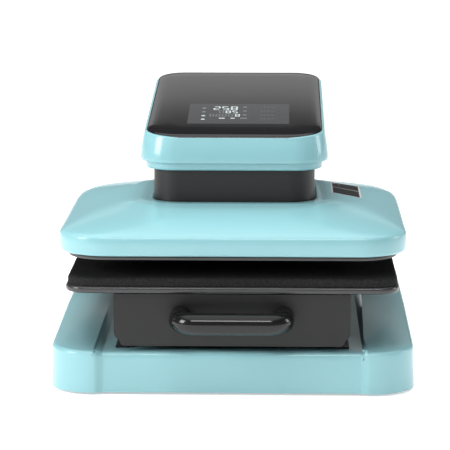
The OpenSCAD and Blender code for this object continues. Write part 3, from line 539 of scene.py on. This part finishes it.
# %% Plan of the base, with its set-back middle
BASE_FRONT_R = 50 * MM
BASE_BACK_R = 30 * MM
STEP_X = 151.5 * MM
STEP_W = 6 * MM


def base_plan(inset, z, setback):
    """The base's rounded plan; points on the front between the shoulders move back along a soft S."""
    points = outline(base_high.x - inset, base_low.y + inset, base_high.y - inset, z, BASE_FRONT_R - inset,
                     BASE_BACK_R - inset, front_stops=base_front_stops())
    for p in points:
        if p.y < base_low.y + 20 * MM and abs(p.x) < STEP_X + STEP_W:
            t = min(1.0, (STEP_X + STEP_W - abs(p.x)) / (2 * STEP_W))
            p.y += setback * t * t * (3 - 2 * t)
    return points


def base_front_stops():
    """Where the front line needs points, from left to right: close together along each S."""
    curve = [STEP_X - STEP_W + 2 * STEP_W * k / 10 for k in range(11)]
    return [-x for x in reversed(curve)] + [-90 * MM, -30 * MM, 30 * MM, 90 * MM] + curve


# %% Base shell
def base_shell():
    bottom, top = base_low.z, base_high.z
    deck = bottom + 46 * MM
    front_top = deck + 2 * MM
    ramp_end = centre_y + 60 * MM
    channel = base_high.x - 61 * MM
    flank = 7 * MM
    near, far = base_low.y - 20 * MM, base_high.y + 20 * MM
    draft = 1.5 * MM
    band = deck - 9 * MM  # keeps what the bevel does to the walls above this height
    over = top + 5 * MM
    share = (band - bottom) / (over - bottom)
    block = loft([base_plan(0, bottom, 3 * MM), base_plan(draft * share, band, (3 + 3 * share) * MM),
                  base_plan(draft, over, 6 * MM)])

    def shoulder(y):
        return min(top, front_top + (top - front_top) * (y - base_low.y) / (ramp_end - base_low.y))

    high = top + 60 * MM
    wide = base_high.x + 50 * MM
    block = carve(block, bar_through([[Vector((x, near, shoulder(near))), Vector((x, ramp_end, top)),
                                       Vector((x, far, top)), Vector((x, far, high)), Vector((x, near, high))]
                                      for x in (-wide, wide)]))

    def channel_section(y):
        rise = 1.3 * (shoulder(y) - deck)
        edge = channel + 1.3 * flank
        right = [(channel, deck), (edge, deck + rise), (edge, high + 5 * MM)]
        left = [(-x, z) for x, z in reversed(right)]
        return [Vector((x, y, z)) for x, z in left[-1:] + right + left[:-1]]

    block = carve(block, bar_through([channel_section(y) for y in (near, ramp_end, far)]))
    walls = [e for e in block.edges if len(e.link_faces) == 2 and e.is_convex
             and e.calc_face_angle(0) > math.radians(50) and min(v.co.z for v in e.verts) > bottom + 20 * MM
             and any(abs(f.normal.z) < 0.2 for f in e.link_faces)]
    bmesh.ops.bevel(block, geom=walls, offset=4.5 * MM, offset_type="OFFSET", segments=6, profile=0.5,
                    affect="EDGES", clamp_overlap=False, material=-1)
    under = [f for f in block.faces if f.normal.z < -0.9 and f.calc_center_median().z < bottom + 1 * MM]
    for wall, depth in ((3.2 * MM, 4 * MM), (5 * MM, 32 * MM)):
        bmesh.ops.inset_region(block, faces=under, thickness=wall, use_even_offset=True)
        pocket = bmesh.ops.extrude_face_region(block, geom=under)["geom"]
        bmesh.ops.delete(block, geom=[f for f in under if f.is_valid], context="FACES_ONLY")
        raised = [g for g in pocket if isinstance(g, bmesh.types.BMVert)]
        bmesh.ops.translate(block, vec=(0, 0, depth), verts=raised)
        under = [g for g in pocket if isinstance(g, bmesh.types.BMFace)]
    bmesh.ops.recalc_face_normals(block, faces=block.faces)
    return piece("base_shell_moulding", block, mint, "frame", ["base_shell"], sharp=40)


base_shell()

# %% [markdown]
# ## Press cover
# The cover is a shallow dome over the heated platen with a hole for the neck. A subdivided cage would work,
# but a loft keeps its straight rim exact: the stack goes up the rim, over the shoulder, across the dome and
# down into the hole. The outline gets rounder on its way up, as the real dome does.


# %% Press cover
def press_cover():
    half, front, back = cover_high.x, cover_low.y, cover_high.y
    rim, top = cover_low.z, cover_high.z
    edge = rim + 18.4 * MM
    gap = 1.5 * MM
    big_arc = 120 * MM
    hole = (neck_high.x + gap, neck_low.y - gap, neck_high.y + gap, 33.5 * MM)

    def fall(p):
        """How far the dome falls away at a point outside the large arc of its back corners."""
        x, y = abs(p.x) - (half - big_arc), p.y - (back - big_arc)
        past = math.hypot(x, y) - big_arc if x > 0 and y > 0 else 0.0
        return 0.3 * max(0.0, past)

    def ring(inset, z, front_r=54.0, back_r=54.0, falls=1.0):
        points = outline(half - inset * MM, front + inset * MM, back - inset * MM, z, (front_r - inset) * MM,
                         (back_r - inset) * MM)
        for p in points:
            p.z -= falls * fall(p)
        return points

    def hole_ring(out, z):
        return outline(hole[0] + out, hole[1] - out, hole[2] + out, z, hole[3] + out)

    stack = [ring(3, rim + 2 * MM, falls=0), ring(3, rim, falls=0), ring(1.0, rim, falls=0)]
    stack += [ring(0.3, rim + 0.4 * MM, falls=0), ring(0, rim + 1.5 * MM, falls=0)]
    stack += [ring(0, rim + 10 * MM, falls=0.5), ring(0.2, edge - 1.6 * MM), ring(0.6, edge - 0.6 * MM)]
    stack += [ring(1.4, edge)]
    # inset from the rim, rise above its edge, front corner radius and back corner radius
    dome = [(3.0, 1.2, 58, 62), (6.0, 2.5, 64, 76), (11.0, 4.5, 74, 94), (19.0, 7.3, 90, 114),
            (30.0, 10.5, 112, 132), (43.0, 13.8, 134, 148), (57.0, 16.7, 150, 156), (68.0, 18.6, 150, 154)]
    stack += [ring(d, edge + rise * MM, front_r, back_r) for d, rise, front_r, back_r in dome]
    # a collar round the neck and the wall of the hole: distance out from the hole, and drop from the top
    collar = [(26, 1.9), (21, 1.5), (18, 1.2), (15.5, 0.45), (13, 0.15), (8, 0.0), (2.4, 0.0), (1.0, 0.2),
              (0.3, 0.8), (0, 1.8), (0, 8)]
    stack += [hole_ring(out * MM, top - drop * MM) for out, drop in collar]
    bm = loft(stack, close_first=False, close_last=False)
    bmesh.ops.solidify(bm, geom=bm.faces, thickness=-2.4 * MM)  # grows outward, past the CAD's box
    return piece("press_cover_dome", bm, mint, "press_head", ["press_cover"], sharp=50)


press_cover()

# %% [markdown]
# ## Heater skirt, platen edge and pad
# Under the cover's rim a dark frame surrounds the heated platen. Below it lies the lower platen, a thick
# enamelled plate with a rounded edge, and on that the press pad.


# %% Plates with rounded edges
def slab(low, high, r, edge, bottom_edge=None):
    """A plate with a rounded plan and rounded edges, as a stack of outlines."""
    bottom_edge = edge if bottom_edge is None else bottom_edge
    margin = 6 * MM

    def level(inset, z):
        return outline(high.x - inset, low.y + inset, high.y - inset, z, max(r - inset, 1 * MM))

    stack = [level(bottom_edge + margin, low.z)]
    stack += [level(inset, low.z + bottom_edge - rise) for inset, rise in reversed(fillet(bottom_edge))]
    stack += [level(inset, high.z - edge + rise) for inset, rise in fillet(edge)]
    return stack + [level(edge + margin, high.z)]


piece("lower_platen_plate", loft(slab(platen_low, platen_high, 25 * MM, 3 * MM)), platen_enamel, "drawer",
      ["lower_platen"])


# %% Press pad
def press_pad():
    bm = loft(slab(pad_low, pad_high, 22.5 * MM, 3.2 * MM, 1.0 * MM))
    pad = piece("press_pad_foam", bm, cloth, "drawer", ["press_pad"], sharp=60)
    return pad


press_pad()


# %% Heater skirt
def heater_skirt():
    half, front, back = skirt_high.x, skirt_low.y, skirt_high.y
    inner, inner_r, outer_r = 188.5 * MM, 44.5 * MM, 51 * MM

    def inside(out, z):
        return outline(inner + out, centre_y - inner - out, centre_y + inner + out, z, inner_r + out)

    def outside(inset, z):
        return outline(half - inset, front + inset, back - inset, z, outer_r - inset)

    stack = [inside(0, skirt_high.z), inside(0, skirt_low.z + 0.8 * MM), inside(0.8 * MM, skirt_low.z),
             outside(1.5 * MM, skirt_low.z), outside(0.3 * MM, skirt_low.z + 1.2 * MM),
             outside(0.3 * MM, skirt_high.z)]
    bm = loft(stack, close_first=False, close_last=False)
    bmesh.ops.bridge_loops(bm, edges=[e for e in bm.edges if len(e.link_faces) == 1])
    bmesh.ops.recalc_face_normals(bm, faces=bm.faces)
    return piece("heater_skirt_frame", bm, black_plastic, "press_head", ["heater_skirt"])


heater_skirt()

# %% [markdown]
# ## Neck and head
# The neck is a deep-drawn steel sleeve in satin black. The head above it is two mint mouldings: a shallow lip
# and a taller band whose top slopes up to the back, with a sheet of black glass let into it.


# %% Neck sleeve
def neck_sleeve():
    half, front, back = neck_high.x, neck_low.y, neck_high.y
    r = 32 * MM
    stack = [outline(half - 2.5 * MM, front + 2.5 * MM, back - 2.5 * MM, neck_low.z, r - 2.5 * MM),
             outline(half, front, back, neck_low.z, r),
             outline(half, front, back, (neck_low.z + neck_high.z) / 2, r),
             outline(half, front, back, neck_high.z, r),
             outline(half - 10 * MM, front + 10 * MM, back - 10 * MM, neck_high.z, r - 10 * MM)]
    bm = loft(stack, close_first=False, close_last=False)
    return piece("neck_sleeve_skin", bm, black_satin, "frame", ["neck_sleeve"])


neck_sleeve()

# %% Slope of the head's top
HEAD_SLOPE = math.tan(math.radians(6.0))
head_top = head_low.z + 31 * MM


def tilted(points, share=1.0):
    """Lifts points to the head's slope, which rises to the back."""
    return [Vector((p.x, p.y, p.z + share * (p.y - head_low.y) * HEAD_SLOPE)) for p in points]


# %% Head band and lip
def head_shell():
    half, front, back = head_high.x, head_low.y, head_high.y
    behind = back - glass_high.y - 3 * MM

    def ring(inset, z, share, rake=0.0):
        inner = min(inset, 20 * MM) * 0.6
        return tilted(outline(half - inset, front + inset, back - inset - rake * behind, z, 42 * MM - inner,
                              (28 + 10 * rake) * MM - inner), share)

    foot = [(9, 0), (1.4, 0), (0.4, 0.5), (0, 1.8)]
    stack = [ring(inset * MM, head_low.z + rise * MM, 0) for inset, rise in foot]
    height = head_top - head_low.z
    flare = 4.4 * MM
    for k in range(1, 13):
        t = k / 12
        z = head_low.z + 2 * MM + (height - 4.5 * MM) * t
        stack.append(ring(flare * t ** 1.6, z, t, max(0.0, t - 0.4) / 0.6))
    for inset, rise in fillet(2.2 * MM, 5)[1:]:
        stack.append(ring(flare + inset, head_top - 2.5 * MM + rise, 1, 1))
    stack.append(ring(14 * MM, head_top - 0.3 * MM, 1, 1))
    stack.append(ring(30 * MM, head_top - 0.3 * MM, 1, 1))
    bm = loft(stack, close_first=False, close_last=True)
    return piece("head_band", bm, mint, "frame", ["head_shell"])


head_shell()


def head_lip():
    half, front, back = lip_high.x, lip_low.y, lip_high.y
    edge_r = 2.5 * MM

    def level(inset, z):
        return outline(half - inset, front + inset, back - inset, z, 35 * MM - inset, 20 * MM - inset)

    stack = [level(9 * MM, lip_low.z)]
    stack += [level(inset, lip_low.z + edge_r - rise) for inset, rise in reversed(fillet(edge_r))]
    stack += [level(0, lip_high.z), level(6 * MM, lip_high.z)]
    return piece("head_lip", loft(stack), mint, "frame", ["head_lower_shell"])


head_lip()


# %% Glass
def glass_panel():
    half, front, back = glass_high.x, glass_low.y, glass_high.y
    r, back_r = 40 * MM, 34 * MM
    top = head_top + 2.8 * MM

    def ring(inset, drop, roll=0.0):
        inner = min(inset, 16 * MM)
        return tilted(outline(half - inset, front + inset + roll, back - inset, top - drop, r - inner,
                              back_r - inner))

    stack = [ring(3 * MM, 6.5 * MM), ring(0, 6 * MM), ring(0, 4.4 * MM)]
    for inset, rise in fillet(3.4 * MM, 7)[1:]:
        stack.append(ring(inset * 0.9, 4.2 * MM - rise, inset * 1.2))
    stack += [ring(5 * MM, 0.45 * MM, 6 * MM), ring(8 * MM, 0.16 * MM, 8 * MM), ring(14 * MM, 0, 9 * MM),
              ring(30 * MM, 0, 9 * MM)]
    bm = loft(stack)
    return piece("glass_top", bm, glass_black, "frame", ["glass_panel"])


glass_panel()

# %% [markdown]
# ## Display behind the glass
# Behind the glass sits a lit display: three rows of figures, a few marks beside them and a faint column of
# legends. Real figures are seven lit bars, so they are built the same way, as thin bars just above the
# glass. The figures are arbitrary.

# %% Lit finishes
def lit(name, colour, strength):
    material = bpy.data.materials.new(name)
    material.use_nodes = True
    tree = material.node_tree
    shader = tree.nodes["Principled BSDF"]
    texture = place_group(tree, GRAIN, Scale=500.0)
    tree.links.new(ramp_between(tree, texture.outputs["Height"], tuple(0.9 * c for c in colour), colour),
                   shader.inputs["Emission Color"])
    shader.inputs["Base Color"].default_value = (0.02, 0.02, 0.02, 1)
    shader.inputs["Roughness"].default_value = 0.3
    shader.inputs["Emission Strength"].default_value = strength
    return material


bright_bars = lit("display_bright", (0.80, 0.90, 0.92), 0.95)
dim_bars = lit("display_dim", (0.50, 0.56, 0.58), 0.45)
faint_bars = lit("display_faint", (0.40, 0.42, 0.43), 0.16)
display_glass = finish(
    "display_glass", ((0.030, 0.031, 0.033), (0.036, 0.037, 0.039)), (0.10, 0.14), grain=200.0,
    relief=0.004,
)

# %% Bars laid on the sloping glass
SEGMENTS = {0: "abcdef", 2: "abged", 5: "afgcd", 6: "afgcde", 8: "abcdefg", 9: "abcdfg"}


def on_glass(x, y, lift):
    """A point on the glass, x across from the middle and y back from the press centre."""
    return Vector((x, centre_y + y, head_top + 2.8 * MM + lift + (centre_y + y - head_low.y) * HEAD_SLOPE))


def add_bar(bm, x, y, w, h, lift):
    """A flat bar of w by h on the glass."""
    made = bmesh.ops.create_grid(bm, x_segments=1, y_segments=1, size=0.5)["verts"]
    for v in made:
        v.co = on_glass(x + v.co.x * w, y + v.co.y * h, lift)


def add_digit(bm, value, x, y, w, h, bar, lift):
    """A figure of seven bars with its middle at x, y."""
    spots = {"a": (0, h / 2, w, bar), "g": (0, 0, w, bar), "d": (0, -h / 2, w, bar),
             "b": (w / 2, h / 4, bar, h / 2), "c": (w / 2, -h / 4, bar, h / 2),
             "f": (-w / 2, h / 4, bar, h / 2), "e": (-w / 2, -h / 4, bar, h / 2)}
    for name in SEGMENTS[value]:
        dx, dy, bw, bh = spots[name]
        add_bar(bm, x + dx, y + dy, bw * 0.92, bh * 0.92, lift)


def display():
    ground = bmesh.new()
    add_bar(ground, 4 * MM, 9.5 * MM, 121 * MM, 104 * MM, 0.02 * MM)
    bright, dim, faint = bmesh.new(), bmesh.new(), bmesh.new()
    lift = 0.05 * MM
    for value, x in ((2, -23), (5, -12.5), (8, -2)):
        add_digit(bright, value, x * MM, 38 * MM, 6.4 * MM, 17 * MM, 2.2 * MM, lift)
    add_digit(dim, 0, -17 * MM, 18.5 * MM, 4.6 * MM, 12 * MM, 1.3 * MM, lift)
    for value, x in ((8, -9), (5, -0.8)):
        add_digit(bright, value, x * MM, 18.5 * MM, 4.8 * MM, 12.5 * MM, 1.8 * MM, lift)
    for x in (-28.5, -21, -13.5, -6):
        add_digit(dim, 0, x * MM, 0.5 * MM, 4.2 * MM, 11 * MM, 1.2 * MM, lift)
    add_digit(bright, 8, 2.5 * MM, 0.5 * MM, 4.4 * MM, 11.5 * MM, 1.7 * MM, lift)
    for x, w in ((-16, 7), (-3, 5), (10, 8)):
        add_bar(bright if x < 0 else dim, x * MM, -14.5 * MM, w * MM, 4 * MM, lift)
    for y in (38, 18, -2, -20):
        add_bar(bright if y < 0 else dim, -38.5 * MM, y * MM, 4.4 * MM, 4.5 * MM, lift)
        add_bar(dim, -38.5 * MM, (y + 4) * MM, 2 * MM, 2 * MM, lift)
    for y in (44, 23, 3):
        add_bar(dim, 11 * MM, y * MM, 4.2 * MM, 4.5 * MM, lift)
    for y in (43, 22, 2, -17):
        for k in range(4):
            add_bar(faint, (31 + 4.4 * k) * MM, y * MM, 3.6 * MM, 6.5 * MM, lift)
    layers = (("display_ground", ground, display_glass), ("display_bright_bars", bright, bright_bars),
              ("display_dim_bars", dim, dim_bars), ("display_faint_bars", faint, faint_bars))
    for name, bm, material in layers:
        bmesh.ops.recalc_face_normals(bm, faces=bm.faces)
        piece(name, bm, material, "frame")


display()

# %% [markdown]
# ## Small visible details
# A plain rating label lies on the back right of the cover, and two small dark bars mark the latch slots in
# the front of the head's lower lip. The label has no text, only its pale border and one dividing line.


# %% Label that follows the dome
def label():
    cover = bpy.data.objects["press_cover_dome"].data
    tree = BVHTree.FromPolygons([v.co for v in cover.vertices], [p.vertices for p in cover.polygons])

    def patch(name, x0, x1, y0, y1, lift, material):
        bm = bmesh.new()
        bmesh.ops.create_grid(bm, x_segments=8, y_segments=16, size=0.5)
        for v in bm.verts:
            x = x0 + (v.co.x + 0.5) * (x1 - x0)
            y = centre_y + y0 + (v.co.y + 0.5) * (y1 - y0)
            hit = tree.ray_cast(Vector((x, y, cover_high.z + 0.1)), Vector((0, 0, -1)))[0]
            v.co = Vector((x, y, hit.z + lift))
        bmesh.ops.recalc_face_normals(bm, faces=bm.faces)
        piece(name, bm, material, "press_head")

    patch("label_border", 116 * MM, 152 * MM, -10 * MM, 88 * MM, 0.10 * MM, label_pale)
    patch("label_front", 118 * MM, 150 * MM, -7.5 * MM, 36 * MM, 0.18 * MM, black_plastic)
    patch("label_back", 118 * MM, 150 * MM, 38.5 * MM, 85.5 * MM, 0.18 * MM, black_plastic)


label_pale = finish("label_pale", ((0.42, 0.40, 0.40), (0.50, 0.48, 0.48)), (0.4, 0.5), grain=900.0)
label()


# %% Latch slots in the lip
def latch_slots():
    bm = bmesh.new()
    for x in (-36 * MM, 36 * MM):
        made = bmesh.ops.create_cube(bm, size=1.0)["verts"]
        for v in made:
            v.co = Vector((x + v.co.x * 16 * MM, lip_low.y + (0.9 + v.co.y * 1.6) * MM,
                           lip_high.z + (-1.7 + v.co.z * 1.5) * MM))
    bmesh.ops.bevel(bm, geom=list(bm.edges), offset=0.3 * MM, offset_type="OFFSET", segments=2, profile=0.5,
                    affect="EDGES", clamp_overlap=True, material=-1)
    return piece("latch_slots", bm, black_plastic, "frame")


latch_slots()

# %% [markdown]
# ## Drawer front and handle
# The drawer's front keeps its CAD shape. The handle is a round bar bent to a D: one circle is spun round a
# bend, then extruded along the grip, and mirrored.


# %% Handle
def handle():
    r = (grip_high.z - grip_low.z) / 2
    z = (grip_high.z + grip_low.z) / 2
    bend = 20 * MM
    grip_y = grip_low.y + r
    post_x = grip_high.x - r
    bm = bmesh.new()
    circle = bmesh.ops.create_circle(bm, segments=32, radius=r)["verts"]
    turn = Matrix.Translation((post_x, grip_high.y, z)) @ Matrix.Rotation(math.radians(90), 4, "X")
    bmesh.ops.transform(bm, matrix=turn, verts=circle)
    edges = list(bm.edges)

    def extrude(geom, shift):
        out = bmesh.ops.extrude_edge_only(bm, edges=geom)["geom"]
        verts = [g for g in out if isinstance(g, bmesh.types.BMVert)]
        bmesh.ops.translate(bm, vec=shift, verts=verts)
        return [g for g in out if isinstance(g, bmesh.types.BMEdge) and all(v in verts for v in g.verts)]

    edges = extrude(edges, (0, grip_y + bend - grip_high.y, 0))
    spun = bmesh.ops.spin(bm, geom=edges, cent=(post_x - bend, grip_y + bend, z), axis=(0, 0, 1),
                          angle=math.radians(-90), steps=14)["geom_last"]
    edges = [g for g in spun if isinstance(g, bmesh.types.BMEdge)]
    extrude(edges, (-(post_x - bend), 0, 0))
    for v in bm.verts:
        if abs(v.co.x) < 1e-6:
            v.co.x = 0
    bmesh.ops.mirror(bm, geom=list(bm.verts) + list(bm.edges) + list(bm.faces), axis="X", merge_dist=1e-5)
    bmesh.ops.remove_doubles(bm, verts=bm.verts, dist=1e-6)
    bmesh.ops.holes_fill(bm, edges=[e for e in bm.edges if len(e.link_faces) == 1], sides=0)
    bmesh.ops.recalc_face_normals(bm, faces=bm.faces)
    return piece("handle_bar", bm, black_gloss, "drawer", ["handle"], sharp=50)


handle()

# %% [markdown]
# ## Finishes on the CAD's own pieces
# The rest of the press keeps its CAD shape. Each node gets the finish of its slot in the record.

# %% Finishes by slot
SLOT_FINISH = {
    "mint_shell": mint, "black_satin": black_satin, "black_gloss": black_gloss,
    "black_glass": glass_black, "platen_black": platen_enamel, "platen_coated": heater_coat,
    "pad_foam": cloth, "black_plastic": black_plastic, "black_steel": powder_coat,
    "frame_steel": frame_paint, "zinc_sheet": black_oxide, "zinc_screws": zinc,
    "black_screws": black_oxide, "machined_steel": ground_steel, "motor_steel": ground_steel,
    "bronze": bronze, "circuit_board": board_green, "insulation": mineral, "rubber_feet": rubber,
}
slots = {entry["node"]: entry["material_slot"] for entry in frame["record"]["subparts"]}
for name, thing in frame["nodes"].items():
    thing.data.materials.clear()
    thing.data.materials.append(SLOT_FINISH[slots[name]])
print("nodes with a finish", len(slots))


# %% [markdown]
# ## Floor
# A plain pale floor under the press, large enough that its edge is never seen.

# %% Floor
def studio_floor():
    bm = bmesh.new()
    bmesh.ops.create_grid(bm, x_segments=1, y_segments=1, size=30)
    bmesh.ops.translate(bm, vec=(0, 0, floor_z), verts=bm.verts)
    mesh = bpy.data.meshes.new("studio_floor")
    bm.to_mesh(mesh)
    bm.free()
    thing = bpy.data.objects.new("studio_floor", mesh)
    bpy.context.scene.collection.objects.link(thing)
    paper = finish("floor_paper", ((0.88, 0.88, 0.88), (0.90, 0.90, 0.90)), (0.85, 0.9), grain=300.0,
                   Emission_Color=(1, 1, 1, 1), Emission_Strength=0.5)
    mesh.materials.append(paper)
    return thing


studio_floor()
